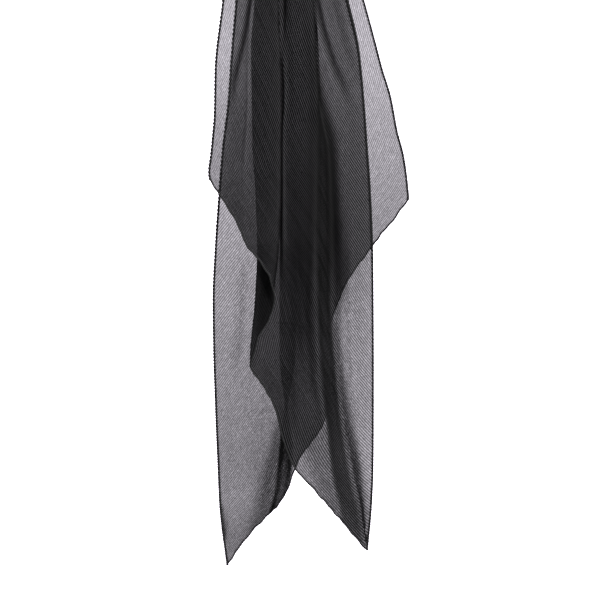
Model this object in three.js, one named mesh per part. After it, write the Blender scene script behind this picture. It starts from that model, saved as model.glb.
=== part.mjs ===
// A pleated chiffon stole, hung doubled over its middle: one slanted-ended length of cloth with a
// front fall and a back fall. Millimetres, +Z up, +X to the right, the front fall towards -Y.
// The origin is the highest point of the inside of the bight, where the stole is held.
import * as THREE from 'three';

const clothWall = 1.2; // the chiffon over its standing pleats, as one wall
const seamGap = 0.3; // between neighbouring solids
const holdRadius = 10; // inside of the bight, over what holds the stole
const bightDrop = 60; // how far down each fall the bight's solid reaches
const bightColumns = 6; // across each of the bight's layers
const rowSteps = { bight: 25, upper: 64, lower: 30, turn: 8 }; // heights between the sections of a wall
const overAngles = [67.5, 45, 22.5, 0, -22.5, -45, -67.5]; // sections over the top, in degrees
const overlock = { width: 2.4, thickness: 2.0, lift: 3.5 };
const rolledHem = { width: 2.0, thickness: 1.6, lift: 2.4 };
const stretchColumns = { first: 7, firstTurn: 6, middle: 8, secondTurn: 6, wide: 7 };
const pathSamples = 10; // points on each span of a section's path
const leastTip = 5; // length of the last section of a wall that ends in a point
const leastRow = 6.4; // no two sections of a wall are nearer in height
const halvings = 40; // that find the height where a stretch has only leastTip left
const crowding = { from: 8, over: 14, most: 0.85 }; // how far columns draw towards the folds of a long stretch

// Where a section's control points lie: rise is the share of the first layer's climb done at half its width,
// slack the place of the middle layer's own point, and the rest are in turns of a fold: the step and crest
// beside an opened fold, and the lean and stand of one half way open.
const shape = { rise: 0.58, slack: 0.42, step: 1.6, crest: 0.25, lean: 0.15, stand: 1.3 };

const chiffonBlack = new THREE.MeshStandardMaterial({ color: 0x1b1b1e, roughness: 0.9, metalness: 0 });
const threadBlack = new THREE.MeshStandardMaterial({ color: 0x0d0d0e, roughness: 0.8, metalness: 0 });

// Heights are drops below the top of the bight's inside. "out" is the distance from the plane between the
// falls. Each fall's path starts at its short long-edge (and, below that edge's corner, at the end hem), runs
// to the first fold a, turns back to b, runs on to the second fold c, turns back to d and runs to the other
// long edge. Where d lies past c the second fold has opened into a steep step.
const foldColumns = [
  'drop', 'startOut', 'a', 'aOut', 'b', 'bOut', 'midOut', 'c', 'cOut', 'd', 'dOut', 'wideOut', 'long', 'longOut',
  'turn',
];

const frontFolds = table(foldColumns, [
  [10, 15.5, 2.8, 19.7, -35.0, 13.5, 15.6, 30.8, 14.5, -9.8, 11.9, 10.6, 42.0, 10.6, 1.3],
  [100, 14.0, -0.5, 20.5, -35.5, 13.5, 14.0, 36.5, 14.8, 4.7, 9.8, 8.0, 61.0, 8.0, 1.8],
  [180, 13.0, -2.5, 21.5, -36.0, 13.2, 13.5, 41.5, 15.5, 17.0, 8.5, 6.5, 76.6, 6.0, 2.3],
  [252, 12.0, -3.8, 22.5, -36.8, 13.0, 13.0, 45.6, 16.5, 26.6, 7.5, 5.5, 92.4, 5.0, 2.7],
  [322, 11.0, -1.2, 23.5, -41.7, 12.5, 12.5, 48.8, 18.5, 37.8, 7.0, 5.0, 108.0, 5.5, 3.0],
  [392, 9.0, 0.6, 24.0, -40.6, 12.0, 12.5, 53.0, 21.0, 50.4, 6.0, 5.5, 115.2, 6.5, 3.2],
  [462, 7.0, 0.2, 23.5, -39.5, 11.5, 12.5, 52.5, 24.0, 66.0, 5.0, 7.0, 120.3, 8.0, 3.2],
  [518, 6.0, 0.0, 22.0, -35.8, 11.0, 12.0, 51.8, 26.0, 68.0, 4.0, 9.0, 124.2, 10.0, 3.2],
  [602, 6.0, -3.2, 18.0, -33.2, 10.0, 11.0, 50.4, 28.0, 69.5, 3.5, 11.0, 127.5, 12.0, 3.2],
  [668, 8.0, -9.8, 14.5, -36.0, 9.0, 10.0, 50.8, 30.0, 69.5, 3.5, 12.0, 128.2, 13.0, 3.2],
  [763, 8.0, -9.8, 12.0, -43.4, 8.5, 12.0, 54.8, 31.0, 75.5, 3.5, 13.0, 128.6, 13.0, 3.2],
  [851, 8.0, -9.8, 12.0, -43.4, 8.0, 14.0, 64.5, 29.0, 84.4, 3.5, 12.0, 128.5, 12.0, 3.2],
  [910, 8.0, -9.8, 12.0, -43.4, 8.0, 14.0, 71.0, 27.0, 95.0, 3.5, 10.0, 128.0, 10.0, 3.2],
  [966, 8.0, -9.8, 12.0, -43.4, 8.0, 12.0, 83.0, 22.0, 107.0, 4.0, 8.0, 125.5, 8.0, 3.2],
  [1021, 8.0, -9.8, 12.0, -43.4, 8.0, 8.0, 92.0, 15.0, 116.0, 5.0, 6.0, 120.4, 6.0, 3.2],
]);

const backFolds = table(foldColumns, [
  [10, 10.6, -9.8, 11.9, 30.8, 14.5, 15.8, -35.0, 13.5, 2.8, 19.7, 18.8, -42.0, 15.5, 1.3],
  [100, 8.5, 0.0, 10.5, 38.0, 14.0, 15.5, -28.0, 15.0, 7.0, 20.5, 20.5, -52.3, 14.5, 1.8],
  [180, 6.5, 4.0, 9.5, 44.0, 13.5, 15.5, -22.0, 16.5, 11.0, 22.0, 21.5, -57.8, 14.0, 2.2],
  [252, 5.5, 7.5, 8.5, 49.0, 13.5, 16.0, -18.0, 18.5, 14.0, 23.5, 22.5, -62.2, 13.0, 2.6],
  [322, 5.5, 10.0, 8.0, 52.5, 13.5, 16.0, -11.5, 19.0, 16.5, 24.5, 22.0, -68.2, 12.0, 2.8],
  [392, 6.5, 12.0, 7.5, 56.0, 13.0, 16.0, -7.0, 18.5, 18.5, 24.5, 20.5, -73.1, 10.5, 3.0],
  [462, 8.0, 13.5, 7.5, 59.5, 13.0, 15.5, -3.0, 18.0, 20.0, 24.0, 19.0, -81.2, 9.5, 3.0],
  [518, 10.0, 15.5, 7.5, 61.5, 13.0, 15.0, -1.0, 17.5, 21.0, 23.5, 18.0, -85.8, 9.0, 3.0],
  [602, 10.0, 22.0, 7.0, 64.5, 12.5, 14.0, -1.5, 16.0, 22.0, 22.0, 15.0, -91.5, 8.0, 3.0],
  [672, 9.0, 30.5, 6.5, 66.5, 12.0, 13.0, -2.0, 14.5, 22.0, 21.0, 15.0, -94.4, 7.0, 3.0],
  [742, 7.0, 43.4, 6.5, 67.5, 11.5, 12.0, -2.0, 12.0, 20.0, 22.0, 15.5, -93.6, 6.5, 3.0],
  [800, 7.0, 43.4, 6.5, 65.5, 10.5, 10.0, 3.0, 9.0, 13.0, 26.0, 16.5, -91.7, 6.5, 3.0],
  [850, 7.0, 43.4, 6.5, 63.0, 10.0, 8.5, 13.0, 7.0, 1.0, 29.0, 17.5, -89.9, 7.0, 3.0],
  [894, 7.0, 43.4, 6.5, 63.0, 10.0, 8.0, 16.0, 5.0, -3.5, 30.0, 18.0, -87.9, 7.5, 3.0],
  [940, 7.0, 43.4, 6.5, 63.0, 10.0, 7.0, 10.0, 5.0, -9.0, 27.0, 17.0, -86.0, 7.0, 3.0],
  [965, 7.0, 43.4, 6.5, 63.0, 10.0, 7.0, -2.0, 5.0, -15.0, 23.0, 15.0, -84.6, 7.0, 3.0],
  [1043, 7.0, 43.4, 6.5, 63.0, 10.0, 7.0, -30.0, 5.0, -45.0, 12.0, 9.0, -74.9, 6.0, 3.0],
]);

// The short long-edge from the top to its corner.
const frontShortEdge = table(['drop', 'x'], [
  [10, -42.0], [42, -52.5], [84, -60.9], [126, -67.2], [168, -72.4], [210, -76.7], [252, -80.5], [350, -91.3],
  [413, -92.5], [441, -94.8], [468, -97.4], [494, -100.5], [503, -99.4],
]);

const backShortEdge = table(['drop', 'x'], [
  [10, 42.0], [42, 53.2], [84, 65.1], [126, 77.7], [168, 90.3], [210, 102.9], [252, 115.2], [315, 132.3],
  [349, 141.1], [386, 152.6], [437, 162.4], [469, 170.8], [496, 175.0], [530, 178.6],
]);

// The end hem from that corner to the fall's point.
const frontHem = table(['drop', 'x'], [
  [503, -99.4], [524, -85.8], [543, -73.4], [568, -59.1], [594, -48.3], [612, -33.6], [629, -21.4], [641, -15.4],
  [668, -9.8], [701, -17.8], [722, -31.2], [746, -37.8], [763, -43.4], [781, -32.2], [798, -20.4], [827, -6.4],
  [869, 4.2], [893, 13.2], [907, 20.3], [931, 42.0], [950, 58.8], [979, 84.0], [1011, 110.6], [1020.6, 120.4],
]);

const backHem = table(['drop', 'x'], [
  [530, 178.6], [559, 157.9], [580, 140.0], [602, 123.9], [624, 107.0], [650, 90.3], [678, 78.7], [699, 70.7],
  [708, 66.0], [742, 43.4], [790, 54.5], [830, 63.0], [855, 54.2], [874, 39.9], [895, 25.2], [918, 16.0], [941, 7.0],
  [960, -5.6], [976, -21.0], [998, -42.0], [1021, -60.2], [1043, -74.9],
]);

// side is the fall's sign in y. run is the sign in x of its path. stack is +1 where the path starts on the
// outermost layer. The hem passes fold a and then fold b at these drops.
const front = {
  side: -1, run: 1, stack: 1, folds: frontFolds, shortEdge: frontShortEdge, hem: frontHem,
  corner: 503, passesA: 668, passesB: 763, point: 1020.6,
};
const back = {
  side: 1, run: -1, stack: -1, folds: backFolds, shortEdge: backShortEdge, hem: backHem,
  corner: 530, passesA: 742, passesB: 830, point: 1043,
};

// Rows with named columns, read between rows by a monotone cubic on the first column.
function table(columns, rows) {
  const at = rows.map((row) => row[0]);
  const slopes = columns.map((_, column) => monotoneSlopes(at, rows.map((row) => row[column])));
  return (drop) => {
    const last = at.length - 2;
    let i = 0;
    while (i < last && drop > at[i + 1]) i += 1;
    const width = at[i + 1] - at[i];
    const t = Math.min(Math.max((drop - at[i]) / width, 0), 1);
    const read = {};
    columns.forEach((name, column) => {
      const [from, to] = [rows[i][column], rows[i + 1][column]];
      const [leave, arrive] = [slopes[column][i] * width, slopes[column][i + 1] * width];
      read[name] = hermite(from, to, leave, arrive, t);
    });
    return read;
  };
}

function hermite(from, to, leave, arrive, t) {
  const rise = t * t * (3 - 2 * t);
  return from + (to - from) * rise + leave * t * (1 - t) * (1 - t) - arrive * t * t * (1 - t);
}

function monotoneSlopes(at, values) {
  const chord = at.slice(1).map((x, i) => (values[i + 1] - values[i]) / (x - at[i]));
  return at.map((_, i) => {
    if (i === 0) return chord[0];
    if (i === chord.length) return chord[i - 1];
    if (chord[i - 1] * chord[i] <= 0) return 0;
    return (2 * chord[i - 1] * chord[i]) / (chord[i - 1] + chord[i]);
  });
}

const mix = (from, to, t) => from + (to - from) * t;
const marksInOrder = ['start', 'a', 'b', 'c', 'd', 'long'];
const smooth = (t) => THREE.MathUtils.smoothstep(t, 0, 1);
const mixPoints = (p, q, t) => [mix(p[0], q[0], t), mix(p[1], q[1], t)];

// Section of a fall at one height, as points (along, out), with the index of each fold on it.
function sectionPath(fall, drop) {
  const row = fall.folds(drop);
  const { turn } = row;
  const reach = turn * fall.stack;
  const [a, b, c, d, long] = ['a', 'b', 'c', 'd', 'long'].map((name) => row[name] * fall.run);
  const start = fall.shortEdge(Math.min(drop, fall.corner)).x * fall.run;
  const overlap = (c - d) / (2 * turn);
  const folded = smooth(overlap); // 1 where c and d overlap, 0 where the second turn stands straight
  const opened = smooth(-overlap); // 1 where it has opened into a step
  const foldC = [c, row.cOut];
  const foldD = [d, row.dOut];
  const [lean, stand] = [shape.lean * turn, shape.stand * reach];
  const blend = (turned, straight, step) => mixPoints(mixPoints(straight, turned, folded), step, opened);
  const controls = [
    [start, row.startOut],
    [mix(start, a - turn, 0.5), mix(row.startOut, row.aOut + reach, shape.rise)],
    [a - turn, row.aOut + reach],
    [a, row.aOut],
    [a - turn, row.aOut - reach],
    [b + turn, row.bOut + reach],
    [b, row.bOut],
    [b + turn, row.bOut - reach],
    [mix(b, c, shape.slack), row.midOut],
    mixPoints([c - turn, row.cOut + reach], [c - shape.step * turn, row.cOut + shape.crest * reach], opened),
    foldC,
    blend([c - turn, row.cOut - reach], [c - lean, row.cOut - stand], mixPoints(foldC, foldD, 1 / 3)),
    blend([d + turn, row.dOut + reach], [d + lean, row.dOut + stand], mixPoints(foldC, foldD, 2 / 3)),
    foldD,
    mixPoints([d + turn, row.dOut - reach], [d + shape.step * turn, row.dOut - shape.crest * reach], opened),
    [mix(d, long, 0.5), row.wideOut],
    [long, row.longOut],
  ];
  const marks = { start: 0, a: 3, b: 6, c: 10, d: 13, long: 16 };
  const points = throughPoints(controls);
  Object.keys(marks).forEach((name) => { marks[name] *= pathSamples; });
  return { points, marks };
}

// Centripetal Catmull-Rom curve through the controls.
function throughPoints(controls) {
  const ends = [
    controls[0].map((v, k) => 2 * v - controls[1][k]),
    controls.at(-1).map((v, k) => 2 * v - controls.at(-2)[k]),
  ];
  const all = [ends[0], ...controls, ends[1]];
  const points = [controls[0]];
  for (let i = 1; i < all.length - 2; i += 1) {
    const [p0, p1, p2, p3] = all.slice(i - 1, i + 3);
    const [t01, t12, t23] = [[p0, p1], [p1, p2], [p2, p3]].map(
      ([p, q]) => Math.sqrt(Math.hypot(q[0] - p[0], q[1] - p[1])) + 1e-6,
    );
    const tangent = (near, mid, far, before, after, k) =>
      ((mid[k] - near[k]) / before - (far[k] - near[k]) / (before + after) + (far[k] - mid[k]) / after) * t12;
    for (let step = 1; step <= pathSamples; step += 1) {
      const t = step / pathSamples;
      points.push([0, 1].map((k) =>
        hermite(p1[k], p2[k], tangent(p0, p1, p2, t01, t12, k), tangent(p1, p2, p3, t12, t23, k), t)));
    }
  }
  return points;
}

// The path from its first point on the cloth: above the corner the long edge, below it the hem.
function trimmedPath(fall, drop) {
  const path = sectionPath(fall, drop);
  if (drop <= fall.corner) return { ...path, first: 0 };
  const x = fall.hem(drop).x * fall.run;
  const { marks, points } = path;
  let [from, to, sign] = [marks.b, marks.long, 1];
  if (drop < fall.passesA) [from, to, sign] = [marks.start, marks.a, 1];
  else if (drop < fall.passesB) [from, to, sign] = [marks.a, marks.b, -1];
  let i = from;
  while (i < to - 1 && sign * points[i + 1][0] < sign * x) i += 1;
  const t = THREE.MathUtils.clamp((x - points[i][0]) / (points[i + 1][0] - points[i][0] || 1), 0, 1);
  return { ...path, first: i + t };
}

function pathPoint(path, index) {
  const i = THREE.MathUtils.clamp(Math.floor(index), 0, path.points.length - 2);
  return mixPoints(path.points[i], path.points[i + 1], index - i);
}

function pathTangent(path, index) {
  const last = path.points.length - 1;
  const [before, after] = [Math.max(index - 0.5, 0), Math.min(index + 0.5, last)].map((i) => pathPoint(path, i));
  const [along, out] = [after[0] - before[0], after[1] - before[1]];
  return [along / Math.hypot(along, out), out / Math.hypot(along, out)];
}

// Points along the path between two of its indices, closer together towards both ends of a long stretch.
function samplePath(path, fromIndex, toIndex, count, trimFrom = 0, trimTo = 0) {
  const indices = [fromIndex];
  for (let i = Math.floor(fromIndex) + 1; i < toIndex; i += 1) indices.push(i);
  indices.push(toIndex);
  const chain = indices.map((index) => pathPoint(path, index));
  const lengths = [0];
  chain.slice(1).forEach((p, i) => {
    lengths.push(lengths[i] + Math.hypot(p[0] - chain[i][0], p[1] - chain[i][1]));
  });
  const total = lengths.at(-1) - trimFrom - trimTo;
  const crowd = THREE.MathUtils.clamp((total - crowding.from) / crowding.over, 0, crowding.most);
  return Array.from({ length: count + 1 }, (_, column) => {
    const even = column / count;
    const share = mix(even, (1 - Math.cos(Math.PI * even)) / 2, crowd);
    const length = trimFrom + total * share;
    let i = 0;
    while (i < chain.length - 2 && lengths[i + 1] < length) i += 1;
    const t = (length - lengths[i]) / (lengths[i + 1] - lengths[i] || 1);
    const index = mix(indices[i], indices[i + 1], t);
    return { point: pathPoint(path, index), tangent: pathTangent(path, index) };
  });
}

function pathLength(path, from, to) {
  let sum = 0;
  for (let i = Math.ceil(from); i < to; i += 1) {
    const [p, q] = [path.points[i], path.points[i + 1]];
    sum += Math.hypot(q[0] - p[0], q[1] - p[1]);
  }
  return sum;
}

// A point (along, out) of a fall's section in space. angle is 90 degrees on both falls, and less over the top.
function place(fall, [along, out], drop, angle = Math.PI / 2) {
  return new THREE.Vector3(along * fall.run, fall.side * out * Math.sin(angle), out * Math.cos(angle) - drop);
}

function direct(fall, [along, out], angle = Math.PI / 2) {
  return new THREE.Vector3(along * fall.run, fall.side * out * Math.sin(angle), out * Math.cos(angle));
}

// One row of a wall: the points across it, with the section's own normal at each.
function wallRow(fall, samples, drop, angle) {
  return samples.map(({ point, tangent }) => ({
    at: place(fall, point, drop, angle),
    flat: direct(fall, [-tangent[1], tangent[0]], angle),
  }));
}

// A closed wall of even thickness about the middle surface that the rows give.
function wall(rows) {
  const [last, across] = [rows.length - 1, rows[0].length];
  const vertices = [];
  for (const sign of [1, -1]) {
    rows.forEach((row, r) => row.forEach(({ at, flat }, c) => {
      const down = rows[Math.min(r + 1, last)][c].at.clone().sub(rows[Math.max(r - 1, 0)][c].at).normalize();
      const normal = flat.clone().addScaledVector(down, -flat.dot(down)).normalize();
      vertices.push(at.clone().addScaledVector(normal, (sign * clothWall) / 2));
    }));
  }
  const half = rows.length * across;
  const top = (r, c) => r * across + c;
  const faces = [];
  const quad = (i, j, k, l) => faces.push([i, j, k], [i, k, l]);
  const rim = (i, j) => quad(i, j, j + half, i + half);
  for (let r = 0; r < last; r += 1) {
    for (let c = 0; c < across - 1; c += 1) {
      const corners = [top(r, c), top(r, c + 1), top(r + 1, c + 1), top(r + 1, c)];
      quad(...corners);
      quad(...corners.map((i) => i + half).reverse());
    }
    rim(top(r, 0), top(r + 1, 0));
    rim(top(r + 1, across - 1), top(r, across - 1));
  }
  for (let c = 0; c < across - 1; c += 1) {
    rim(top(0, c + 1), top(0, c));
    rim(top(last, c), top(last, c + 1));
  }
  return closedGeometry(vertices, faces);
}

// A closed bar of rectangular section through frames of {at, across, normal}.
function bar(frames, { width, thickness }) {
  const corners = [[1, 1], [-1, 1], [-1, -1], [1, -1]];
  const vertices = frames.flatMap(({ at, across, normal }) => corners.map(([u, v]) =>
    at.clone().addScaledVector(across, (u * width) / 2).addScaledVector(normal, (v * thickness) / 2)));
  const faces = [];
  for (let f = 0; f < frames.length - 1; f += 1) {
    for (let k = 0; k < 4; k += 1) {
      const [p, q] = [4 * f + k, 4 * f + ((k + 1) % 4)];
      faces.push([p, q, q + 4], [p, q + 4, p + 4]);
    }
  }
  const end = 4 * (frames.length - 1);
  faces.push([2, 1, 0], [3, 2, 0], [end, end + 1, end + 2], [end, end + 2, end + 3]);
  return closedGeometry(vertices, faces);
}

// Faces are turned together so that they point out of the body.
function closedGeometry(vertices, faces) {
  const sixVolumes = faces.reduce(
    (sum, [i, j, k]) => sum + vertices[i].dot(vertices[j].clone().cross(vertices[k])), 0);
  const outward = sixVolumes > 0 ? faces : faces.map(([i, j, k]) => [i, k, j]);
  const geometry = new THREE.BufferGeometry().setFromPoints(vertices);
  geometry.setIndex(outward.flat());
  geometry.computeVertexNormals();
  return geometry;
}

function spread(from, to, step) {
  const count = Math.max(1, Math.round((to - from) / step));
  return Array.from({ length: count + 1 }, (_, i) => mix(from, to, i / count));
}

// The drop at which what is left of the stretch is only leastTip long.
function tipDrop(fall, from, to) {
  let [high, low] = [fall.corner, fall.point];
  for (let i = 0; i < halvings; i += 1) {
    const drop = (high + low) / 2;
    const path = trimmedPath(fall, drop);
    const left = pathLength(path, Math.max(path.first, path.marks[from]), path.marks[to]);
    if (left > leastTip) high = drop;
    else low = drop;
  }
  return high;
}

// Heights of the sections that all solids of a fall share, with the points where its stretches end.
function sectionDrops(fall) {
  const fixed = [bightDrop + seamGap, fall.corner, fall.point];
  for (const pass of [fall.passesA, fall.passesB]) {
    fixed.push(pass - rowSteps.turn, pass, pass + rowSteps.turn);
  }
  marksInOrder.slice(0, -1).forEach((from, i) => fixed.push(tipDrop(fall, from, marksInOrder[i + 1])));
  const ladder = [
    ...spread(bightDrop + seamGap, fall.corner, rowSteps.upper),
    ...spread(fall.corner, fall.point, rowSteps.lower),
  ];
  const free = ladder.filter((drop) => fixed.every((other) => Math.abs(drop - other) > leastRow));
  return [...fixed, ...free].sort((p, q) => p - q);
}

// The wall of one stretch of a fall, between two marks of its path.
function stretch(fall, from, to, columns) {
  const tip = tipDrop(fall, from, to);
  const rows = fall.drops.filter((drop) => drop <= tip).map((drop) => {
    const path = trimmedPath(fall, drop);
    const first = Math.max(path.first, path.marks[from]);
    const trimFrom = path.first > path.marks[from] || from === 'start' ? 0 : seamGap / 2;
    const trimTo = to === 'long' ? 0 : seamGap / 2;
    return wallRow(fall, samplePath(path, first, path.marks[to], columns, trimFrom, trimTo), drop);
  });
  return wall(rows);
}

// All five gathered layers over the top, from the front fall to the back fall.
function bight() {
  const acrossLayers = (fall, drop) => {
    const path = trimmedPath(fall, drop);
    return marksInOrder.slice(1).flatMap((to, i) =>
      samplePath(path, path.marks[marksInOrder[i]], path.marks[to], bightColumns).slice(i === 0 ? 0 : 1));
  };
  const fallRows = (fall) => spread(holdRadius, bightDrop, rowSteps.bight).map(
    (drop) => wallRow(fall, acrossLayers(fall, drop), drop));
  const gathered = acrossLayers(front, holdRadius);
  const over = overAngles.map((degrees) =>
    wallRow(front, gathered, holdRadius, THREE.MathUtils.degToRad(degrees)));
  return wall([...fallRows(front).reverse(), ...over, ...fallRows(back).map((row) => row.reverse())]);
}

// Middle of an edge strip beside the wall's end at one height: outward along the section.
function edgeFrame(fall, drop, atStart, reach, angle) {
  const path = sectionPath(fall, drop);
  const end = atStart ? 0 : path.marks.long;
  const [point, tangent] = [pathPoint(path, end), pathTangent(path, end)];
  const away = atStart ? -1 : 1;
  const across = direct(fall, [tangent[0] * away, tangent[1] * away], angle);
  const normal = direct(fall, [-tangent[1], tangent[0]], angle);
  return { at: place(fall, point, drop, angle).addScaledVector(across, reach), across, normal };
}

// Overlock of one long edge, from its front corner over the top to its back corner.
function longEdge(frontAtStart) {
  const reach = seamGap + overlock.width / 2;
  const down = (fall, atStart) => {
    const end = (atStart ? fall.corner : fall.point) - overlock.lift;
    const drops = fall.drops.filter((drop) => drop > bightDrop + rowSteps.turn && drop < end - 1);
    return [...spread(holdRadius, bightDrop, rowSteps.bight), ...drops, end].map(
      (drop) => edgeFrame(fall, drop, atStart, reach));
  };
  const over = overAngles.map((degrees) =>
    edgeFrame(front, holdRadius, frontAtStart, reach, THREE.MathUtils.degToRad(degrees)));
  const frames = [...down(front, frontAtStart).reverse(), ...over, ...down(back, !frontAtStart)];
  return bar(frames, overlock);
}

// Rolled hem of one slanted end, round both edges of its first fold.
function endHem(fall) {
  const reach = seamGap + rolledHem.width / 2;
  const hemPoint = (drop) => {
    const path = trimmedPath(fall, drop);
    return { at: place(fall, pathPoint(path, path.first), drop), section: pathTangent(path, path.first) };
  };
  const [top, bottom] = [fall.corner + rolledHem.lift, fall.point - rolledHem.lift];
  const drops = [top, ...fall.drops.filter((drop) => drop > top + 1 && drop < bottom - 1), bottom];
  const frames = drops.map((drop) => {
    const { at, section } = hemPoint(drop);
    const along = hemPoint(drop + 1).at.sub(hemPoint(drop - 1).at).normalize();
    const flat = direct(fall, [-section[1], section[0]]);
    const normal = flat.addScaledVector(along, -flat.dot(along)).normalize();
    const across = normal.clone().cross(along).normalize();
    if (across.dot(direct(fall, section)) > 0) across.negate();
    return { at: at.addScaledVector(across, reach), across, normal };
  });
  return bar(frames, rolledHem);
}

const stole = new THREE.Group();
stole.name = 'stole';

function add(name, geometry, material) {
  const mesh = new THREE.Mesh(geometry, material);
  mesh.name = name;
  stole.add(mesh);
}

const stretchNames = {
  front: ['left_stretch', 'first_turn', 'middle_stretch', 'second_turn', 'right_stretch'],
  back: ['right_stretch', 'first_turn', 'middle_stretch', 'second_turn', 'left_stretch'],
};

for (const fall of [front, back]) fall.drops = sectionDrops(fall);
for (const [side, fall] of [['front', front], ['back', back]]) {
  stretchNames[side].forEach((name, i) => {
    const columns = Object.values(stretchColumns)[i];
    add(`${side}_${name}`, stretch(fall, marksInOrder[i], marksInOrder[i + 1], columns), chiffonBlack);
  });
}
add('top_bight', bight(), chiffonBlack);
add('left_edge_overlock', longEdge(true), threadBlack);
add('right_edge_overlock', longEdge(false), threadBlack);
add('front_end_hem', endHem(front), threadBlack);
add('back_end_hem', endHem(back), threadBlack);

export default stole;
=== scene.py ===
import math
import bpy
import numpy as np
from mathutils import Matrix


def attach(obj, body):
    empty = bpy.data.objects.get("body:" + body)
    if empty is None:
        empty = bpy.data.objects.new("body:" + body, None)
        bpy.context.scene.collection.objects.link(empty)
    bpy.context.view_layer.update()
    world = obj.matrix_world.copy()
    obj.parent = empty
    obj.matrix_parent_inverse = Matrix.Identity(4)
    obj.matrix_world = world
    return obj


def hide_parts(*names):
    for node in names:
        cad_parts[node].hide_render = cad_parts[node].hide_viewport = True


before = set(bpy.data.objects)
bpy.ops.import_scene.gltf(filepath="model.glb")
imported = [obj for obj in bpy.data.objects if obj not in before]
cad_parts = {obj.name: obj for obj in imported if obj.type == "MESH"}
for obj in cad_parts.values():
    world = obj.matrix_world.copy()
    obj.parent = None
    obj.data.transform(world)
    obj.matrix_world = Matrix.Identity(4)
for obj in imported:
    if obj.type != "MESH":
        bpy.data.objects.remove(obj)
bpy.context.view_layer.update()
print("frame loaded")


# the cloth at rest, in metres: a parallelogram with its pleats parallel to its ends
cloth = {
    "width": 0.330,  # between the long edges
    "frontEdge": 0.3579,  # left long edge, from the line that lies on top to the front end
    "backEdge": 0.8318,  # the same edge, from there to the back end
    "slant": 1.370,  # how far down the cloth a pleat runs for each metre across it
}

# how it hangs: its own weight stretches it most at the top
hang = {
    "arc": 0.0248,  # quarter turn over the top, at the middle of the gathered layers
    "holdRadius": 0.010,
    "topStretch": 1.603,
    "loss": 0.58,  # stretch lost for each metre down
    "bightDrop": 0.060,  # how far down the top piece reaches
    "slideFrom": 0.25,  # below here the cloth slides along its path, more and more for slideOver
    "slideOver": 0.50,
}
bightLevel = hang["bightDrop"] + hang["arc"] - hang["holdRadius"]

foldColumns = "drop startOut a aOut b bOut midOut c cOut d dOut wideOut long longOut turn".split()

# Drops are below the top of the bight's inside, and out is the distance from the plane between the falls.
# A fall's path starts at its shorter long edge, or at the end hem below it, and turns back at a, b, c and d.
frontFolds = [
    (.01, .0155, .0028, .0197, -.035, .0135, .0156, .0308, .0145, -.0098, .0119, .0106, .042, .0106, .0013),
    (.1, .014, -.0005, .0205, -.0355, .0135, .014, .0365, .0148, .0047, .0098, .008, .061, .008, .0018),
    (.18, .013, -.0025, .0215, -.036, .0132, .0135, .0415, .0155, .017, .0085, .0065, .0766, .006, .0023),
    (.252, .012, -.0038, .0225, -.0368, .013, .013, .0456, .0165, .0266, .0075, .0055, .0924, .005, .0027),
    (.322, .011, -.0012, .0235, -.0417, .0125, .0125, .0488, .0185, .0378, .007, .005, .108, .0055, .003),
    (.392, .009, .0006, .024, -.0406, .012, .0125, .053, .021, .0504, .006, .0055, .1152, .0065, .0032),
    (.462, .007, .0002, .0235, -.0395, .0115, .0125, .0525, .024, .066, .005, .007, .1203, .008, .0032),
    (.518, .006, 0, .022, -.0358, .011, .012, .0518, .026, .068, .004, .009, .1242, .01, .0032),
    (.602, .006, -.0032, .018, -.0332, .01, .011, .0504, .028, .0695, .0035, .011, .1275, .012, .0032),
    (.668, .008, -.0098, .0145, -.036, .009, .01, .0508, .03, .0695, .0035, .012, .1282, .013, .0032),
    (.763, .008, -.0098, .012, -.0434, .0085, .012, .0548, .031, .0755, .0035, .013, .1286, .013, .0032),
    (.851, .008, -.0098, .012, -.0434, .008, .014, .0645, .029, .0844, .0035, .012, .1285, .012, .0032),
    (.91, .008, -.0098, .012, -.0434, .008, .014, .071, .027, .095, .0035, .01, .128, .01, .0032),
    (.966, .008, -.0098, .012, -.0434, .008, .012, .083, .022, .107, .004, .008, .1255, .008, .0032),
    (1.021, .008, -.0098, .012, -.0434, .008, .008, .092, .015, .116, .005, .006, .1204, .006, .0032),
]

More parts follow.
